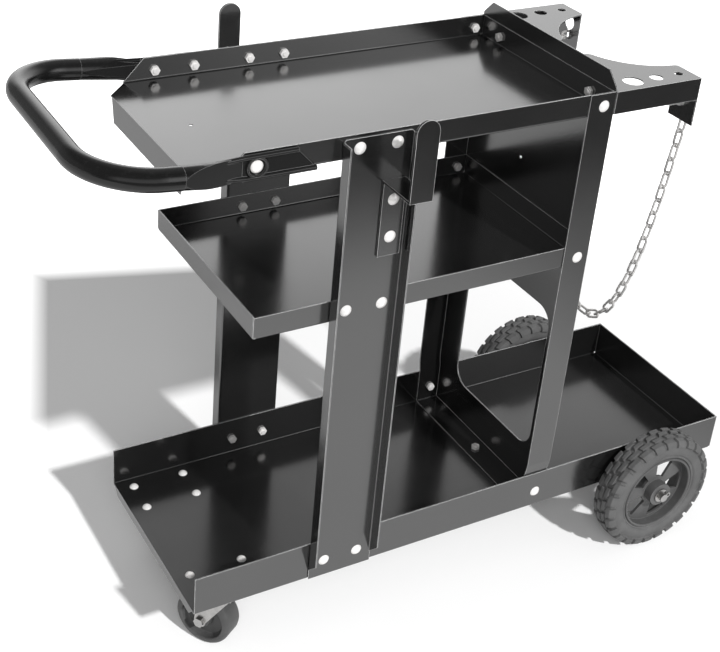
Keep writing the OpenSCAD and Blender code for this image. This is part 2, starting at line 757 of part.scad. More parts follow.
module axle_spacer() { axle_ring(axle_bracket_y, wheel_in_y - face_play, axle_d / 2 + washer_t); }
module far_axle_spacer() { color(zinc) axle_spacer(); }
module near_axle_spacer() { color(zinc) mirror([0, 1, 0]) axle_spacer(); }

// Section of a rim, from the axle outwards: a hub, a dished web and a bed for the tyre
// Width of the bed and inset of the web, as shares of the tyre's width and the hub's length
bed_share = 0.8;
web_share = 0.12;
bed_w = tyre_w * bed_share;
web_t = 4;
web_in = hub_l * web_share;
module rim_section() {
    bed_r = rim_r - rim_wall;
    web_run = bed_r - hub_d / 2 + web_t + rim_wall / 2;
    translate([axle_d / 2 + run_play, -hub_l / 2]) square([hub_d / 2 - axle_d / 2 - run_play, hub_l]);
    translate([hub_d / 2 - web_t, web_in - web_t / 2])
        polygon([[0, 0], [web_run, -web_t], [web_run, 0], [0, web_t]]);
    translate([bed_r, -bed_w / 2]) square([rim_wall, bed_w]);
    // A rolled lip on each side of the bed
    for (s = [-1, 1]) translate([bed_r + rim_wall / 2, s * bed_w / 2]) circle(rim_wall / 2);
}

// One opening in the rim's web, a sector with straight sides, as a share of its part of the turn
opening_share = 0.5;
module rim_opening() {
    inner = hub_d / 2 + web_t;
    outer = rim_r - 2 * rim_wall;
    half = 180 / spoke_n * opening_share;
    intersection() {
        difference() {
            circle(outer);
            circle(inner);
        }
        polygon([[0, 0], 2 * outer * [cos(half), sin(half)], 2 * outer * [cos(half), -sin(half)]]);
    }
}

// The wheel's parts stand on the ground axis Z and are then laid on the axle, outside towards +Z
module on_axle(side) {
    translate([axle_x, side * hub_mid_y, axle_z]) rotate([side == near ? 90 : -90, 0, 0]) children();
}

module wheel_rim(side) {
    on_axle(side) difference() {
        rotate_extrude() rim_section();
        for (i = [0 : spoke_n - 1])
            rotate([0, 0, i * 360 / spoke_n]) translate([0, 0, -hub_l / 2])
                linear_extrude(hub_l) rim_opening();
    }
}

// Section of a tyre: a bead on the rim's bed and a crown with round shoulders, a share of its width
shoulder_share = 0.3;
module tyre_section() {
    shoulder = tyre_w * shoulder_share;
    crown_x = wheel_d / 2 - shoulder;
    difference() {
        union() {
            translate([rim_r, -tyre_w / 2]) square([crown_x - rim_r, tyre_w]);
            translate([rim_r, -tyre_w / 2 + shoulder]) square([tyre_depth, tyre_w - 2 * shoulder]);
            for (s = [-1, 1]) translate([crown_x, s * (tyre_w / 2 - shoulder)]) circle(shoulder);
        }
        translate([rim_r, 0]) circle(rim_wall);
        for (s = [-1, 1]) translate([rim_r, s * bed_w / 2]) circle(rim_wall / 2 + run_play);
    }
}

// A groove's width as a share of the tread's pitch, its length as a share of the tyre's width, its slant
groove_share = 0.3;
groove_l_share = 0.7;
groove_slant = 20;
module wheel_tyre(side) {
    groove = PI * wheel_d / tread_n * groove_share;
    on_axle(side) difference() {
        rotate_extrude($fn = $fn * 2) tyre_section();
        for (i = [0 : tread_n - 1], s = [-1, 1])
            rotate([0, 0, (i + (s + 1) / 4) * 360 / tread_n])
                translate([wheel_d / 2 - tread_depth, 0, s * tyre_w / 2])
                rotate([s * groove_slant, 0, 0])
                    cube([tyre_depth, groove, tyre_w * groove_l_share], center = true);
    }
}

module near_wheel_rim() { color(black_plastic) wheel_rim(near); }
module far_wheel_rim() { color(black_plastic) wheel_rim(far); }
module near_wheel_tyre() { color(rubber) wheel_tyre(near); }
module far_wheel_tyre() { color(rubber) wheel_tyre(far); }

module wheel_washer() {
    axle_ring(hub_out_y + face_play, hub_out_y + face_play + washer_t, axle_d / 2 + washer_w);
}
module far_wheel_washer() { color(zinc) wheel_washer(); }
module near_wheel_washer() { color(zinc) mirror([0, 1, 0]) wheel_washer(); }

// A pin through the axle's end, with a ring at its rear end
cotter_ring_share = 1.25;
module cotter_pin() {
    ring_r = cotter_d * cotter_ring_share;
    reach = axle_d / 2 + cotter_end;
    translate([axle_x, cotter_y, axle_z]) {
        translate([-reach, 0, 0]) rotate([0, 90, 0]) cylinder(d = cotter_d, h = 2 * reach);
        translate([reach + ring_r, 0, 0]) rotate([90, 0, 0]) rotate_extrude()
            translate([ring_r, 0]) circle(d = cotter_d, $fn = coarse_fn);
    }
}
module far_cotter_pin() { color(zinc) cotter_pin(); }
module near_cotter_pin() { color(zinc) mirror([0, 1, 0]) cotter_pin(); }

// The casters' parts stand about their swivel pin
module at_caster(side) { translate([caster_x, side * caster_y, 0]) children(); }
module at_turned_caster(side) {
    at_caster(side) rotate([0, 0, side == near ? near_caster_turn : far_caster_turn]) children();
}

module caster_plate(side) {
    plate_l = caster_pitch_x + 2 * caster_margin;
    plate_w = caster_pitch_y + 2 * caster_margin;
    color(zinc) at_caster(side) translate([0, 0, caster_plate_z]) difference() {
        linear_extrude(caster_t) rounded_2d(plate_l, plate_w, caster_margin);
        for (o = caster_bolt_offsets)
            translate([o[0], o[1], -over]) cylinder(r = screw_hole_r, h = caster_t + 2 * over);
        translate([0, 0, -over]) cylinder(r = pin_d / 2 + run_play, h = caster_t + 2 * over);
    }
}

module caster_race(side) {
    color(zinc) at_caster(side) translate([0, 0, caster_plate_z - race_h]) difference() {
        rotate_extrude() {
            translate([0, race_h / 2]) square([race_d / 2 - race_h / 2, race_h / 2]);
            square([race_d / 2 - race_h, race_h]);
            translate([race_d / 2 - race_h, race_h / 2]) circle(race_h / 2);
        }
        translate([0, 0, -over]) cylinder(r = pin_d / 2 + run_play, h = race_h + 2 * over);
    }
}

// The swivel pin hangs the fork from the plate by its head
module swivel_pin(side) {
    head_t = caster_t;
    head_top_z = fork_top_z - caster_t - face_play;
    color(zinc) at_caster(side) {
        translate([0, 0, head_top_z]) cylinder(d = pin_d, h = bottom_z - head_top_z);
        translate([0, 0, head_top_z - head_t]) cylinder(d = pin_d * 2, h = head_t);
    }
}

// Outline of a fork's leg: wide at the crown, round at the wheel's axle
module leg_2d() {
    leg_r = pin_d;
    polygon([[-race_d / 2, fork_top_z], [race_d / 2, fork_top_z], [-caster_trail + leg_r, caster_r],
             [-caster_trail - leg_r, caster_r]]);
    translate([-caster_trail, caster_r]) circle(leg_r);
}

module caster_fork(side) {
    color(zinc) at_turned_caster(side) difference() {
        union() {
            translate([0, 0, fork_top_z - caster_t]) cylinder(d = race_d, h = caster_t);
            translate([-race_d / 2, -fork_w / 2, fork_top_z - caster_t]) cube([race_d, fork_w, caster_t]);
            for (s = [-1, 1]) translate([0, s * (fork_in_w + caster_t) / 2, 0]) across(caster_t) leg_2d();
        }
        translate([0, 0, fork_top_z - caster_t - over])
            cylinder(r = pin_d / 2 + run_play, h = caster_t + 2 * over);
        translate([-caster_trail, -fork_w, caster_r]) rod_y(pin_d / 2 + run_play, 2 * fork_w);
    }
}

// A bolt with a hexagonal head and a nut as its two ends, their width a share of its diameter
hex_share = 1.75;
module caster_axle(side) {
    end_t = pin_d / 2;
    color(zinc) at_turned_caster(side) translate([-caster_trail, 0, caster_r]) {
        translate([0, -fork_w / 2, 0]) rod_y(pin_d / 2, fork_w);
        for (s = [-1, 1]) translate([0, s * (fork_w + end_t) / 2, 0]) rotate([90, 0, 0])
            cylinder(d = pin_d * hex_share, h = end_t, center = true, $fn = 6);
    }
}

module caster_bush(side) {
    color(zinc) at_turned_caster(side) translate([-caster_trail, -caster_w / 2, caster_r]) difference() {
        rod_y(bush_r, caster_w);
        translate([0, -over, 0]) rod_y(pin_d / 2 + run_play, caster_w + 2 * over);
    }
}

// Radius of a caster wheel's edges, as a share of its width
edge_share = 0.22;
module caster_wheel(side) {
    edge = caster_w * edge_share;
    color(rubber) at_turned_caster(side) translate([-caster_trail, 0, caster_r]) rotate([90, 0, 0])
    rotate_extrude($fn = $fn * 2) {
        translate([bush_r, -caster_w / 2]) square([caster_r - edge - bush_r, caster_w]);
        translate([bush_r, -caster_w / 2 + edge]) square([caster_r - bush_r, caster_w - 2 * edge]);
        for (s = [-1, 1]) translate([caster_r - edge, s * (caster_w / 2 - edge)]) circle(edge);
    }
}

module near_caster_plate() { caster_plate(near); }
module far_caster_plate() { caster_plate(far); }
module near_caster_race() { caster_race(near); }
module far_caster_race() { caster_race(far); }
module near_swivel_pin() { swivel_pin(near); }
module far_swivel_pin() { swivel_pin(far); }
module near_caster_fork() { caster_fork(near); }
module far_caster_fork() { caster_fork(far); }
module near_caster_axle() { caster_axle(near); }
module far_caster_axle() { caster_axle(far); }
module near_caster_bush() { caster_bush(near); }
module far_caster_bush() { caster_bush(far); }
module near_caster_wheel() { caster_wheel(near); }
module far_caster_wheel() { caster_wheel(far); }

// A fastener that points down from z = 0, with a domed head above it
module dome_screw(d, head_d, head_h, l) {
    dome_r = (head_h * head_h + head_d * head_d / 4) / (2 * head_h);
    color(zinc) {
        intersection() {
            translate([0, 0, head_h - dome_r]) sphere(dome_r);
            cylinder(d = head_d, h = head_h);
        }
        translate([0, 0, -l]) cylinder(d = d, h = l + head_h / 2);
    }
}

// A six-sided nut that hangs below z = 0
module hex_nut(d, corner_d, h) {
    color(zinc) translate([0, 0, -h]) difference() {
        cylinder(d = corner_d, h = h, $fn = 6);
        translate([0, 0, -over]) cylinder(r = d / 2 + thread_play, h = h + 2 * over);
    }
}

module bolt(grip) { dome_screw(bolt_d, bolt_head_d, bolt_head_h, grip + nut_h + bolt_end); }
module nut(grip) { translate([0, 0, -grip]) hex_nut(bolt_d, nut_w, nut_h); }

// Places fasteners on one side wall, their heads outwards at distance y from the middle
module from_side(side, xs, zs, y) {
    for (x = xs, z = zs)
        translate([x, side * y, z]) rotate([side == near ? 90 : -90, 0, 0]) children();
}

// Places the same fasteners on both side walls
module from_sides(xs, zs, y) {
    for (s = [near, far]) from_side(s, xs, zs, y) children();
}

wall_grip = 2 * sheet_t;
module post_bolts() { from_sides(post_bolt_xs, bolt_zs, post_face_y) bolt(wall_grip); }
module post_nuts() { from_sides(post_bolt_xs, bolt_zs, post_face_y) nut(wall_grip); }

module panel_bolts() {
    from_sides([panel_bolt_x], [bolt_zs[1], bolt_zs[2]], post_face_y) bolt(wall_grip);
    from_sides([panel_bolt_x], [bolt_zs[0]], half_w) bolt(wall_grip);
}
module panel_nuts() {
    from_sides([panel_bolt_x], [bolt_zs[1], bolt_zs[2]], post_face_y) nut(wall_grip);
    from_sides([panel_bolt_x], [bolt_zs[0]], half_w) nut(wall_grip);
}

module handle_bolts() {
    for (s = [near, far])
        from_side(s, handle_bolt_xs(s), [handle_bolt_z], half_w + flat_t) bolt(flat_t + sheet_t);
}
module handle_nuts() {
    for (s = [near, far])
        from_side(s, handle_bolt_xs(s), [handle_bolt_z], half_w + flat_t) nut(flat_t + sheet_t);
}

// Places a fastener at each hook's two bolts
module from_hooks() {
    for (s = [near, far], z = hook_bolt_zs)
        translate([hook_x(s), s * (post_face_y + hook_t), z]) rotate([s == near ? 90 : -90, 0, 0]) children();
}
module hook_bolts() { from_hooks() bolt(hook_t + sheet_t); }
module hook_nuts() { from_hooks() nut(hook_t + sheet_t); }

// Places a fastener through a bracket, the back panel and the top tray's end wall, nut to the front
module from_brackets() {
    for (s = [near, far])
        translate([panel_back_x + sheet_t, s * bracket_bolt_y, bolt_zs[2]]) rotate([0, 90, 0]) children();
}
module bracket_bolts() { from_brackets() bolt(3 * sheet_t); }
module bracket_nuts() { from_brackets() nut(3 * sheet_t); }

// Places a screw down through the bottom tray and a caster's plate, its head on the tray's floor
screw_nut_share = 0.8;
screw_nut_h = screw_d * screw_nut_share;
screw_grip = caster_t + sheet_t;
module from_casters() {
    for (s = [near, far], o = caster_bolt_offsets)
        translate([caster_x + o[0], s * caster_y + o[1], bottom_floor_z]) children();
}
module caster_bolts() {
    from_casters() dome_screw(screw_d, screw_head_d, screw_head_h, screw_grip + screw_nut_h + bolt_end / 2);
}
module caster_nuts() {
    from_casters() translate([0, 0, -screw_grip]) hex_nut(screw_d, screw_nut_w, screw_nut_h);
}

// Places the panel's foot fastener, nut on top
module from_foot() { translate([foot_x, 0, bottom_z]) rotate([180, 0, 0]) children(); }
module foot_bolt() { from_foot() bolt(wall_grip); }
module foot_nut() { from_foot() nut(wall_grip); }

bottom_tray();
middle_tray();
top_tray();
back_panel();
near_post();
far_post();
near_cable_hook();
far_cable_hook();
push_handle();
near_bottle_bracket();
far_bottle_bracket();
chain_end_links();
safety_chain();
rear_axle();
near_axle_bracket();
far_axle_bracket();
near_axle_spacer();
far_axle_spacer();
near_wheel_rim();
far_wheel_rim();
near_wheel_tyre();
far_wheel_tyre();
near_wheel_washer();
far_wheel_washer();
near_cotter_pin();
far_cotter_pin();
near_caster_plate();
far_caster_plate();
near_caster_race();
far_caster_race();
near_swivel_pin();
far_swivel_pin();
near_caster_fork();
far_caster_fork();
near_caster_axle();
far_caster_axle();
near_caster_wheel();
far_caster_wheel();
near_caster_bush();
far_caster_bush();
post_bolts();
post_nuts();
panel_bolts();
panel_nuts();
handle_bolts();
handle_nuts();
hook_bolts();
hook_nuts();
bracket_bolts();
bracket_nuts();
caster_bolts();
caster_nuts();
foot_bolt();
foot_nut();
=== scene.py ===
import math

import bmesh
import bpy
from mathutils import Matrix, Vector


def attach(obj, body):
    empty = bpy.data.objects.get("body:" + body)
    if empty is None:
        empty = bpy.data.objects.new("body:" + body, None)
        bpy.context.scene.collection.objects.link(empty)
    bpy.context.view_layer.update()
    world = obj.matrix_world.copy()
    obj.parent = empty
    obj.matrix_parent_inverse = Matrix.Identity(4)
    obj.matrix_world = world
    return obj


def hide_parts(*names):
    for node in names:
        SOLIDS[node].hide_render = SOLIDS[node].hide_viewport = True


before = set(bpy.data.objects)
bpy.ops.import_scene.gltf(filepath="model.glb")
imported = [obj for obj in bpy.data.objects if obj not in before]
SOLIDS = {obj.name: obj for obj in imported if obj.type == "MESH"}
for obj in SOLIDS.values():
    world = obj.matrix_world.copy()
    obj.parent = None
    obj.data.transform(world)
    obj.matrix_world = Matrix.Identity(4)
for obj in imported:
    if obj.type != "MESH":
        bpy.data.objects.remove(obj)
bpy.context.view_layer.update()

PAIR = ("near", "far")


# ---------------------------------------------------------------- camera and light

# Azimuth, elevation and roll in degrees
CAMERA_TURNS = (-30.82, 28.49, 4.56)
CAMERA_PLACE = (-0.85626, -1.244, 1.2951)
CAMERA_LENS = 69.336
CAMERA_SHIFT = (0.0417, -0.1333)


def set_camera():
    azimuth, elevation, roll = (math.radians(turn) for turn in CAMERA_TURNS)
    back = Vector((
        math.sin(azimuth) * math.cos(elevation),
        -math.cos(azimuth) * math.cos(elevation),
        math.sin(elevation),
    ))
    level = (-back).cross(Vector((0, 0, 1))).normalized()
    upright = level.cross(-back)
    right = level * math.cos(roll) + upright * math.sin(roll)
    up = upright * math.cos(roll) - level * math.sin(roll)
    lens = bpy.data.cameras.new("camera")
    lens.sensor_width = 36
    lens.lens = CAMERA_LENS
    lens.shift_x, lens.shift_y = CAMERA_SHIFT
    lens.clip_end = 50
    camera = bpy.data.objects.new("camera", lens)
    place = Matrix((right, up, back)).transposed().to_4x4()
    place.translation = CAMERA_PLACE
    camera.matrix_world = place
    bpy.context.scene.collection.objects.link(camera)
    bpy.context.scene.camera = camera


def add_lamp(name, kind, source, target, energy, **settings):
    """A lamp at source that shines towards target and shows in no reflection."""
    data = bpy.data.lights.new(name, kind)
    data.energy = energy
    for key, value in settings.items():
        setattr(data, key, value)
    lamp = bpy.data.objects.new(name, data)
    bpy.context.scene.collection.objects.link(lamp)
    away = Vector(source) - Vector(target)
    turn = away.to_track_quat("Z", "Y").to_matrix().to_4x4()
    lamp.matrix_world = Matrix.Translation(source) @ turn
    lamp.visible_glossy = False


# ---------------------------------------------------------------- material tools

def put(tree, kind, inputs=None, **settings):
    """Adds a node. inputs are values or sockets by name or place."""
    made = tree.nodes.new(kind)
    for key, value in settings.items():
        setattr(made, key, value)
    for key, value in (inputs or {}).items():
        if isinstance(value, bpy.types.NodeSocket):
            tree.links.new(value, made.inputs[key])
        else:
            made.inputs[key].default_value = value
    return made


def maths(tree, operation, *values):
    return put(tree, "ShaderNodeMath", dict(enumerate(values)), operation=operation).outputs[0]


def ramp(tree, value, low, high, out_low=0.0, out_high=1.0):
    """value from low..high to out_low..out_high, held at both ends."""
    return put(tree, "ShaderNodeMapRange", {
        "Value": value, "From Min": low, "From Max": high,
        "To Min": out_low, "To Max": out_high,
    }).outputs["Result"]


def blend(tree, share, first, second, method="MIX"):
    made = put(tree, "ShaderNodeMix", data_type="RGBA", blend_type=method)
    for socket, value in zip((made.inputs[0], made.inputs[6], made.inputs[7]),
                             (share, first, second)):
        if isinstance(value, bpy.types.NodeSocket):
            tree.links.new(value, socket)
        else:
            socket.default_value = value
    return made.outputs[2]


def grey(value, warmth=0.0):
    return (value * (1 + warmth), value, value * (1 - warmth), 1)


def noise(tree, place, scale, detail=2.0, roughness=0.5):
    return put(tree, "ShaderNodeTexNoise", {
        "Vector": place, "Scale": scale, "Detail": detail, "Roughness": roughness,
    }).outputs["Fac"]


def new_group(name, takes, gives):
    """An empty node group; takes is {name: start value}, gives {name: socket kind}."""
    group = bpy.data.node_groups.new(name, "ShaderNodeTree")
    for key, value in takes.items():
        kind = "NodeSocketVector" if isinstance(value, tuple) else "NodeSocketFloat"
        socket = group.interface.new_socket(key, in_out="INPUT", socket_type=kind)
        socket.default_value = value
    for key, kind in gives.items():
        group.interface.new_socket(key, in_out="OUTPUT", socket_type=kind)
    return group, group.nodes.new("NodeGroupInput").outputs, group.nodes.new("NodeGroupOutput")


def finish_group(group, end, results):
    for key, socket in results.items():
        group.links.new(socket, end.inputs[key])
    return group


def edge_rub_and_highlight_group():
    """Where a sheet's edge turns: Mask for thinned paint and a painted highlight along the edge,
    Normal rounded by Width.
    """
    group, given, end = new_group(
        "edge_rub_and_highlight", {"Width": 0.0006, "Patch Scale": 60.0, "Least": 0.75},
        {"Mask": "NodeSocketFloat", "Normal": "NodeSocketVector"})
    rounded = put(group, "ShaderNodeBevel", {"Radius": given["Width"]}, samples=6).outputs[0]
    flat = put(group, "ShaderNodeNewGeometry").outputs["Normal"]
    along = put(group, "ShaderNodeVectorMath", {0: rounded, 1: flat},
                operation="DOT_PRODUCT").outputs["Value"]
    place = put(group, "ShaderNodeTexCoord").outputs["Object"]
    patches = noise(group, place, given["Patch Scale"], 3.0)
    kept = ramp(group, patches, 0.35, 0.65, given["Least"], 1.0)
    turn = ramp(group, along, 0.995, 0.85)
    return finish_group(group, end, {
        "Mask": maths(group, "MULTIPLY", turn, kept), "Normal": rounded})


def speckle_group():
    """Slow clouds and fine grain over a surface, both 0 to 1, and dust on what faces up."""
    group, given, end = new_group(
        "speckle", {"Cloud Scale": 5.0, "Grain Scale": 900.0, "Dust": 0.3},
        {"Cloud": "NodeSocketFloat", "Grain": "NodeSocketFloat", "Dust": "NodeSocketFloat"})
    place = put(group, "ShaderNodeTexCoord").outputs["Object"]
    cloud = ramp(group, noise(group, place, given["Cloud Scale"], 4.0, 0.6), 0.3, 0.7)
    grain = ramp(group, noise(group, place, given["Grain Scale"], 2.0, 0.6), 0.3, 0.7)
    facing = put(group, "ShaderNodeSeparateXYZ",
                 {0: put(group, "ShaderNodeNewGeometry").outputs["Normal"]}).outputs["Z"]
    upward = ramp(group, facing, 0.3, 0.95)
    specks = ramp(group, noise(group, place, 240.0, 6.0, 0.75), 0.52, 0.72)
    dust = maths(group, "MULTIPLY", maths(group, "MULTIPLY", upward, specks), given["Dust"])
    return finish_group(group, end, {"Cloud": cloud, "Grain": grain, "Dust": dust})


def peel_group():
    """Height of cured powder: long waves with a fine pebble on them."""
    group, given, end = new_group(
        "powder_peel", {"Wave Scale": 260.0, "Pebble": 0.4}, {"Height": "NodeSocketFloat"})
    place = put(group, "ShaderNodeTexCoord").outputs["Object"]
    waves = noise(group, place, given["Wave Scale"], 1.0)
    pebbles = put(group, "ShaderNodeTexVoronoi", {"Vector": place, "Scale": 900.0},
                  feature="SMOOTH_F1").outputs["Distance"]
    return finish_group(group, end, {
        "Height": maths(group, "ADD", waves,
                        maths(group, "MULTIPLY", pebbles, given["Pebble"]))})


def use_group(tree, group, **values):
    made = tree.nodes.new("ShaderNodeGroup")
    made.node_tree = group
    for key, value in values.items():
        made.inputs[key.replace("_", " ")].default_value = value
    return made.outputs


def new_material(name):
    material = bpy.data.materials.new(name)
    material.use_nodes = True
    tree = material.node_tree
    tree.nodes.clear()
    shader = tree.nodes.new("ShaderNodeBsdfPrincipled")
    end = tree.nodes.new("ShaderNodeOutputMaterial")
    tree.links.new(shader.outputs[0], end.inputs["Surface"])
    return material, tree, shader


def feed(tree, shader, **values):
    """Sets or links the shader's inputs; names take _ for a space."""
    for key, value in values.items():
        socket = shader.inputs[key.replace("_", " ")]
        if isinstance(value, bpy.types.NodeSocket):
            tree.links.new(value, socket)
        else:
            socket.default_value = value


def bump(tree, height, distance, normal):
    return put(tree, "ShaderNodeBump", {
        "Height": height, "Distance": distance, "Strength": 1.0, "Normal": normal,
    }).outputs[0]


edge_rub_and_highlight = edge_rub_and_highlight_group()
speckle = speckle_group()
powder_peel = peel_group()


# ---------------------------------------------------------------- finishes

def powder_coat(name, roughness=0.13, edge=0.9, width=0.0009, shine=2.4):
    material, tree, shader = new_material(name)
    rub_and_highlight = use_group(tree, edge_rub_and_highlight, Width=width)
    marks = use_group(tree, speckle, Cloud_Scale=6.0, Dust=0.035)
    peel = use_group(tree, powder_peel)
    body = blend(tree, marks["Cloud"], grey(0.005), grey(0.009))
    body = blend(tree, marks["Dust"], body, grey(0.25))
    # Edges go near white: worn paint and a painted highlight
    body = blend(tree, maths(tree, "MULTIPLY", rub_and_highlight["Mask"], edge), body, grey(0.9))
    rough = ramp(tree, marks["Cloud"], 0.0, 1.0, roughness, roughness + 0.05)
    rough = maths(tree, "ADD", rough, maths(tree, "MULTIPLY", marks["Grain"], 0.03))
    feed(tree, shader, Base_Color=body, Roughness=rough, IOR=shine,
         Normal=bump(tree, peel["Height"], 0.00002, rub_and_highlight["Normal"]))
    return material


def plated_steel(name, tone=0.62, roughness=0.24, mottle=0.25, metal=1.0):
    material, tree, shader = new_material(name)
    rub_and_highlight = use_group(tree, edge_rub_and_highlight, Width=0.0003)
    marks = use_group(tree, speckle, Cloud_Scale=70.0, Grain_Scale=2200.0)
    body = blend(tree, marks["Cloud"], grey(tone * (1 - mottle), 0.01), grey(tone, 0.02))
    # Lighter edges: rubbed plating and a painted highlight
    body = blend(tree, rub_and_highlight["Mask"], body, grey(min(1.0, tone * 1.4)))
    rough = ramp(tree, marks["Grain"], 0.0, 1.0, roughness, roughness + 0.12)
    feed(tree, shader, Base_Color=body, Metallic=metal, Roughness=rough,
         Normal=bump(tree, marks["Grain"], 0.00001, rub_and_highlight["Normal"]))
    return material


def moulded_plastic(name, tone=0.05, roughness=0.38):
    material, tree, shader = new_material(name)
    rub_and_highlight = use_group(tree, edge_rub_and_highlight, Width=0.0007, Least=0.8)
    marks = use_group(tree, speckle, Cloud_Scale=18.0, Grain_Scale=1600.0, Dust=0.2)
    body = blend(tree, marks["Cloud"], grey(tone * 0.8), grey(tone * 1.15))
    body = blend(tree, marks["Dust"], body, grey(0.3))
    # Lighter edges: scuffs and a painted highlight
    body = blend(tree, maths(tree, "MULTIPLY", rub_and_highlight["Mask"], 0.35), body, grey(0.4))
    rough = ramp(tree, marks["Grain"], 0.0, 1.0, roughness, roughness + 0.1)
    feed(tree, shader, Base_Color=body, Roughness=rough, IOR=1.55,
         Normal=bump(tree, marks["Grain"], 0.00004, rub_and_highlight["Normal"]))
    return material


def rubber(name, tone=0.03, roughness=0.6, dust=0.35):
    material, tree, shader = new_material(name)
    rub_and_highlight = use_group(tree, edge_rub_and_highlight, Width=0.0008, Least=0.5)
    marks = use_group(tree, speckle, Cloud_Scale=30.0, Grain_Scale=1200.0, Dust=dust)
    body = blend(tree, marks["Cloud"], grey(tone), grey(tone * 1.5))
    body = blend(tree, marks["Dust"], body, grey(0.2))
    # Lighter edges: rubbed rubber and a painted highlight
    body = blend(tree, maths(tree, "MULTIPLY", rub_and_highlight["Mask"], 0.3), body, grey(0.2))
    rough = ramp(tree, marks["Cloud"], 0.0, 1.0, roughness, roughness + 0.15)
    feed(tree, shader, Base_Color=body, Roughness=rough, IOR=1.5,
         Normal=bump(tree, marks["Grain"], 0.00006, rub_and_highlight["Normal"]))
    return material


black_powder = powder_coat("black_powder")
tube_powder = powder_coat("tube_powder", roughness=0.14, edge=0.2, shine=1.5)
bright_zinc = plated_steel("bright_zinc")
bolt_zinc = plated_steel("bolt_zinc", tone=0.9, roughness=0.3, mottle=0.12, metal=0.35)
chain_zinc = plated_steel("chain_zinc", tone=0.75, roughness=0.25, mottle=0.3, metal=0.6)
rim_plastic = moulded_plastic("rim_plastic", tone=0.075)
tyre_rubber = rubber("tyre_rubber", tone=0.075)
caster_rubber = rubber("caster_rubber", tone=0.045, roughness=0.35, dust=0.15)

FINISHES = {
    black_powder: (
        "bottom_tray middle_tray top_tray back_panel near_post far_post near_cable_hook "
        "far_cable_hook near_bottle_bracket far_bottle_bracket near_axle_bracket far_axle_bracket"
    ),
    tube_powder: "push_handle",
    bright_zinc: (
        "rear_axle near_axle_spacer far_axle_spacer near_wheel_washer far_wheel_washer "
        "near_cotter_pin far_cotter_pin near_caster_plate far_caster_plate near_caster_race "
        "far_caster_race near_swivel_pin far_swivel_pin near_caster_fork far_caster_fork "
        "near_caster_axle far_caster_axle near_caster_bush far_caster_bush"
    ),
    bolt_zinc: (
        "post_bolts post_nuts panel_bolts panel_nuts handle_bolts handle_nuts hook_bolts "
        "hook_nuts bracket_bolts bracket_nuts caster_bolts caster_nuts foot_bolt foot_nut"
    ),
    chain_zinc: "safety_chain chain_end_links",
    rim_plastic: "near_wheel_rim far_wheel_rim",
    tyre_rubber: "near_wheel_tyre far_wheel_tyre",
    caster_rubber: "near_caster_wheel far_caster_wheel",
}
for finish, names in FINISHES.items():
    for name in names.split():
        SOLIDS[name].data.materials.clear()
        SOLIDS[name].data.materials.append(finish)


# ---------------------------------------------------------------- pieces

# Faces that meet at a larger angle keep a sharp edge between them
SMOOTH_ANGLE = math.radians(35)


def as_object(name, shape, finish, body):
    """A finished bmesh as an object that rides on a body."""
    mesh = bpy.data.meshes.new(name)
    shape.to_mesh(mesh)
    shape.free()
    made = bpy.data.objects.new(name, mesh)
    bpy.context.scene.collection.objects.link(made)
    mesh.materials.append(finish)
    mesh.set_sharp_from_angle(angle=SMOOTH_ANGLE)
    mesh.polygons.foreach_set("use_smooth", [True] * len(mesh.polygons))
    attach(made, body)
    return made


def turned(shape, outline, steps):
    """Spins an outline of (radius, along Y) points a full turn about the Y axis."""
    points = [shape.verts.new((radius, along, 0)) for radius, along in outline]
    edges = [shape.edges.new(pair) for pair in zip(points, points[1:])]
    edges.append(shape.edges.new((points[-1], points[0])))
    bmesh.ops.spin(shape, geom=points + edges, cent=(0, 0, 0), axis=(0, 1, 0),
                   angle=2 * math.pi, steps=steps, use_merge=True)
    bmesh.ops.remove_doubles(shape, verts=shape.verts, dist=1e-6)
    bmesh.ops.recalc_face_normals(shape, faces=shape.faces)


def in_metres(outline):
    return [(radius / 1000, along / 1000) for radius, along in outline]


AXLE = Vector((0.34525, 0.0, 0.089))
HUB_Y = 0.157
TYRE_ROWS = 26
STEPS_A_ROW = 4
# Turn of the tread for each metre from the tyre's middle
TREAD_SLANT = math.radians(220)
# Least radius of the points that turn, and of the faces that rise as blocks
SLANT_FROM = 0.0763
BLOCKS_FROM = 0.0766
# Half the middle groove's width, and the two edges of the groove at the shoulder
MIDDLE_GROOVE = 0.0009
SHOULDER_GROOVE = (0.0076, 0.0090)
SHOULDER_FROM = 0.008
BLOCK_INSET = 0.0007
BLOCK_HEIGHT = 0.0032
# Half of a tyre's outline in mm, from the crown's middle over the shoulder to the bead
TYRE_HALF = [(85.2, 0.0), (85.2, 0.9), (85.1, 7.6), (84.8, 9.0), (83.6, 14.6), (80.6, 16.6),
             (76.6, 17.2), (75.8, 16.6), (70.0, 17.6), (64.5, 17.4), (62.6, 16.6),
             (61.8, 15.6), (60.6, 15.4), (59.6, 16.2), (58.4, 16.0), (57.4, 14.6)]


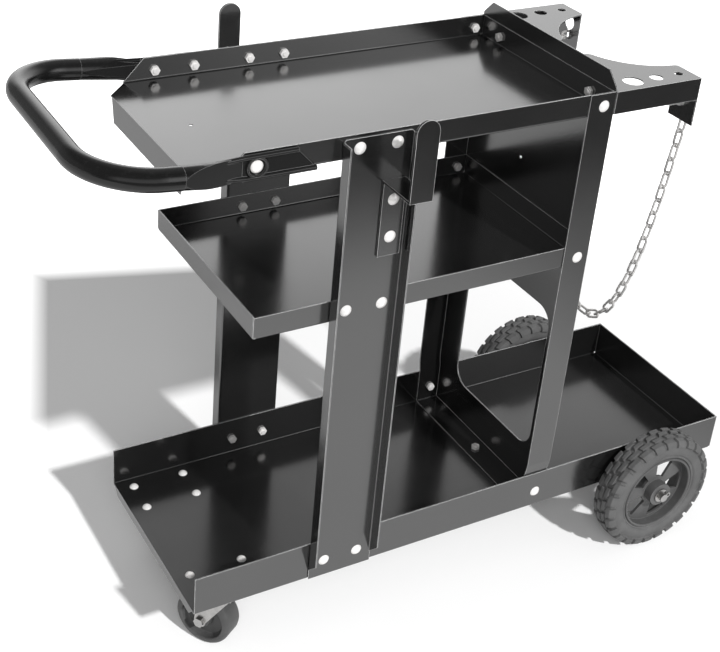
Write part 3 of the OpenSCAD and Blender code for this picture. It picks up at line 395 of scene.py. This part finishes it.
def wheel_tyre(side, way):
    """A solid rubber tyre: smooth side walls, a bead ring and slanted tread blocks."""
    shape = bmesh.new()
    upper = in_metres(TYRE_HALF)
    lower = [(r, -y) for r, y in reversed(upper[1:])]
    steps = TYRE_ROWS * STEPS_A_ROW
    bead_middle = (upper[-1][0], 0.0)
    turned(shape, upper + [bead_middle] + lower, steps)
    # Each ring of points turns a little about the axle, so that the grooves slant
    rings = {}
    for point in shape.verts:
        if math.hypot(point.co.x, point.co.z) > SLANT_FROM:
            rings.setdefault(round(point.co.y, 5), []).append(point)
    for along, points in rings.items():
        bmesh.ops.rotate(shape, verts=points, cent=(0, 0, 0),
                         matrix=Matrix.Rotation(TREAD_SLANT * abs(along), 3, "Y"))
    blocks = []
    for face in shape.faces:
        centre = face.calc_center_median()
        radius = math.hypot(centre.x, centre.z)
        along = abs(centre.y)
        in_groove = SHOULDER_GROOVE[0] < along < SHOULDER_GROOVE[1] or along < MIDDLE_GROOVE
        if radius < BLOCKS_FROM or in_groove:
            continue
        turn = math.atan2(centre.x, centre.z) - TREAD_SLANT * along
        row = int(math.floor(turn / (2 * math.pi) * steps + 0.01)) % steps
        shift = 2 * (along > SHOULDER_FROM) + (centre.y > 0)
        if (row + shift) % STEPS_A_ROW != STEPS_A_ROW - 1:
            blocks.append(face)
    bmesh.ops.inset_region(shape, faces=blocks, thickness=BLOCK_INSET, depth=BLOCK_HEIGHT,
                           use_even_offset=True)
    hub = Vector((AXLE.x, HUB_Y * way, AXLE.z))
    bmesh.ops.translate(shape, verts=shape.verts, vec=hub)
    bmesh.ops.recalc_face_normals(shape, faces=shape.faces)
    tyre = as_object(side + "_tyre", shape, tyre_rubber, side + "_rear_wheel")
    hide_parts(side + "_wheel_tyre")


for side, way in zip(PAIR, (-1, 1)):
    wheel_tyre(side, way)


CASTER_PIN_X = -0.28075
CASTER_PIN_Y = 0.092
CASTER_TRAIL = 0.02
CASTER_AXLE_Z = 0.038
CASTER_STEPS = 72
# Each caster's turn about its swivel pin from trailing forwards, near and far, in degrees
CASTER_TURNS = (-57, 180)
# Half of a caster wheel's outline in mm, from the tread's middle over the rim to the hub
CASTER_HALF = [(38.0, 0.0), (38.0, 10.5), (37.2, 13.2), (35.0, 15.2), (33.2, 15.9), (30.4, 16.0),
               (29.2, 15.2), (28.6, 13.0), (27.4, 9.2), (25.6, 7.6), (14.6, 6.6), (12.6, 7.6),
               (11.6, 10.0), (11.0, 14.8), (10.2, 15.9), (6.8, 16.0)]


def caster_wheel(side, way, turn):
    """A moulded caster wheel: round tread, raised rim ring, dished face and a hub."""
    shape = bmesh.new()
    upper = in_metres(CASTER_HALF)
    lower = [(r, -y) for r, y in reversed(upper[1:])]
    turned(shape, upper + lower, CASTER_STEPS)
    swing = Matrix.Rotation(math.radians(turn), 4, "Z")
    centre = Vector((CASTER_PIN_X, CASTER_PIN_Y * way, CASTER_AXLE_Z))
    centre += swing @ Vector((-CASTER_TRAIL, 0, 0))
    bmesh.ops.transform(shape, verts=shape.verts, matrix=Matrix.Translation(centre) @ swing)
    wheel = as_object(side + "_roller", shape, caster_rubber, side + "_caster_roller")
    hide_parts(side + "_caster_wheel")


for side, way, turn in zip(PAIR, (-1, 1), CASTER_TURNS):
    caster_wheel(side, way, turn)

# The pressed ring round the near handle bolt, (radius, height) in mm
BOSS = [(8.8, -0.2), (9.2, 2.0), (10.2, 3.0), (11.6, 3.0), (12.6, 2.0), (13.2, -0.2)]
BOSS_PLACE = (-0.28575, -0.136, 0.685)
BOSS_STEPS = 56


def handle_boss():
    shape = bmesh.new()
    turned(shape, [(radius, -height) for radius, height in in_metres(BOSS)], BOSS_STEPS)
    bmesh.ops.translate(shape, verts=shape.verts, vec=BOSS_PLACE)
    boss = as_object("handle_boss", shape, tube_powder, "cart")


handle_boss()


# ---------------------------------------------------------------- studio

FLOOR_HALF = 15
# Past two straight lines on the floor the paper glows white, painted light that wipes out the cast
# shadow there: which way each lies, how far
SHADOW_ENDS = (((-0.948, 0.319), 0.462), ((0.271, 0.963), 0.750))


def beyond(tree, place, away, distance):
    """1 past a line on the floor that lies at a distance along away."""
    along = put(tree, "ShaderNodeVectorMath", {0: place, 1: (*away, 0.0)},
                operation="DOT_PRODUCT").outputs["Value"]
    return ramp(tree, along, distance - 0.012, distance + 0.03)


def studio_floor():
    mesh = bpy.data.meshes.new("studio_floor")
    shape = bmesh.new()
    bmesh.ops.create_grid(shape, x_segments=1, y_segments=1, size=FLOOR_HALF)
    shape.to_mesh(mesh)
    shape.free()
    floor = bpy.data.objects.new("studio_floor", mesh)
    bpy.context.scene.collection.objects.link(floor)
    material, tree, shader = new_material("floor_paper")
    place = put(tree, "ShaderNodeTexCoord").outputs["Object"]
    parts = put(tree, "ShaderNodeSeparateXYZ", {0: place}).outputs
    paper = ramp(tree, noise(tree, place, 3.0), 0.3, 0.7)
    tone = blend(tree, paper, grey(0.9), grey(0.91))
    # In glossy paint the paper in front of the cart ends and fades to the rear
    front = maths(tree, "MULTIPLY", ramp(tree, parts["Y"], -1.2, -0.88, 0.14, 0.78),
                  ramp(tree, parts["X"], 0.5, 0.8, 1.0, 0.5))
    path = put(tree, "ShaderNodeLightPath").outputs
    mirrored = blend(tree, front, grey(0.0), tone)
    tone = blend(tree, path["Is Glossy Ray"], tone, mirrored)
    away = put(tree, "ShaderNodeVectorMath", {0: place}, operation="LENGTH").outputs["Value"]
    far = ramp(tree, away, 1.1, 2.2)
    # Beyond these lines the paper glows white for the camera: painted light over the cast shadow
    for line, distance in SHADOW_ENDS:
        far = maths(tree, "MAXIMUM", far, beyond(tree, place, line, distance))
    glow = maths(tree, "MULTIPLY", path["Is Camera Ray"],
                 maths(tree, "MULTIPLY_ADD", far, 0.9, 0.03))
    feed(tree, shader, Base_Color=tone, Roughness=0.9, Specular_IOR_Level=0.0,
         Emission_Color=blend(tree, glow, grey(0.0), grey(1.0)), Emission_Strength=1.0)
    mesh.materials.append(material)


def studio_world():
    world = bpy.data.worlds.new("studio")
    bpy.context.scene.world = world
    world.use_nodes = True
    tree = world.node_tree
    tree.nodes.clear()
    place = put(tree, "ShaderNodeTexCoord").outputs["Generated"]
    parts = put(tree, "ShaderNodeSeparateXYZ", {0: place}).outputs
    path = put(tree, "ShaderNodeLightPath").outputs
    # The wall behind the cart is white and darkens upwards; the room in front is dim
    behind = maths(tree, "MULTIPLY", ramp(tree, parts["Y"], -0.3, 0.35),
                   ramp(tree, parts["X"], -0.15, 0.25, 0.1, 1.0))
    wall = maths(tree, "MULTIPLY", ramp(tree, parts["Z"], 0.40, 0.62, 2.1, 0.4),
                 ramp(tree, parts["X"], 0.38, 0.62, 1.0, 0.72))
    mirrored = maths(tree, "MULTIPLY_ADD", behind, maths(tree, "SUBTRACT", wall, 0.1), 0.1)
    # A wide softbox in front, to the right, shows inside the trays
    box = maths(tree, "MULTIPLY", ramp(tree, parts["Y"], -0.5, -0.7),
                maths(tree, "MULTIPLY", ramp(tree, parts["Z"], 0.62, 0.34, 0.1, 1.6),
                      ramp(tree, parts["X"], 0.28, 0.5, 0.5, 1.5)))
    mirrored = maths(tree, "MAXIMUM", mirrored, box)
    seen = maths(tree, "MAXIMUM", path["Is Camera Ray"],
                 maths(tree, "MULTIPLY", path["Is Glossy Ray"], mirrored))
    fill = maths(tree, "MULTIPLY", path["Is Diffuse Ray"], 0.34)
    level = maths(tree, "ADD", seen, fill)
    light = put(tree, "ShaderNodeBackground", {"Color": grey(1.0), "Strength": level})
    end = tree.nodes.new("ShaderNodeOutputWorld")
    tree.links.new(light.outputs[0], end.inputs[0])


set_camera()
studio_floor()
studio_world()
add_lamp("key_light", "SUN", source=(0.21, -1.27, 1.09), target=(0, 0, 0), energy=3.4,
         angle=math.radians(2.5))
add_lamp("front_light", "AREA", source=(-1.3, -2.2, 1.9), target=(0, 0, 0.35), energy=24, size=1.3)
bpy.context.scene.view_settings.view_transform = "Standard"
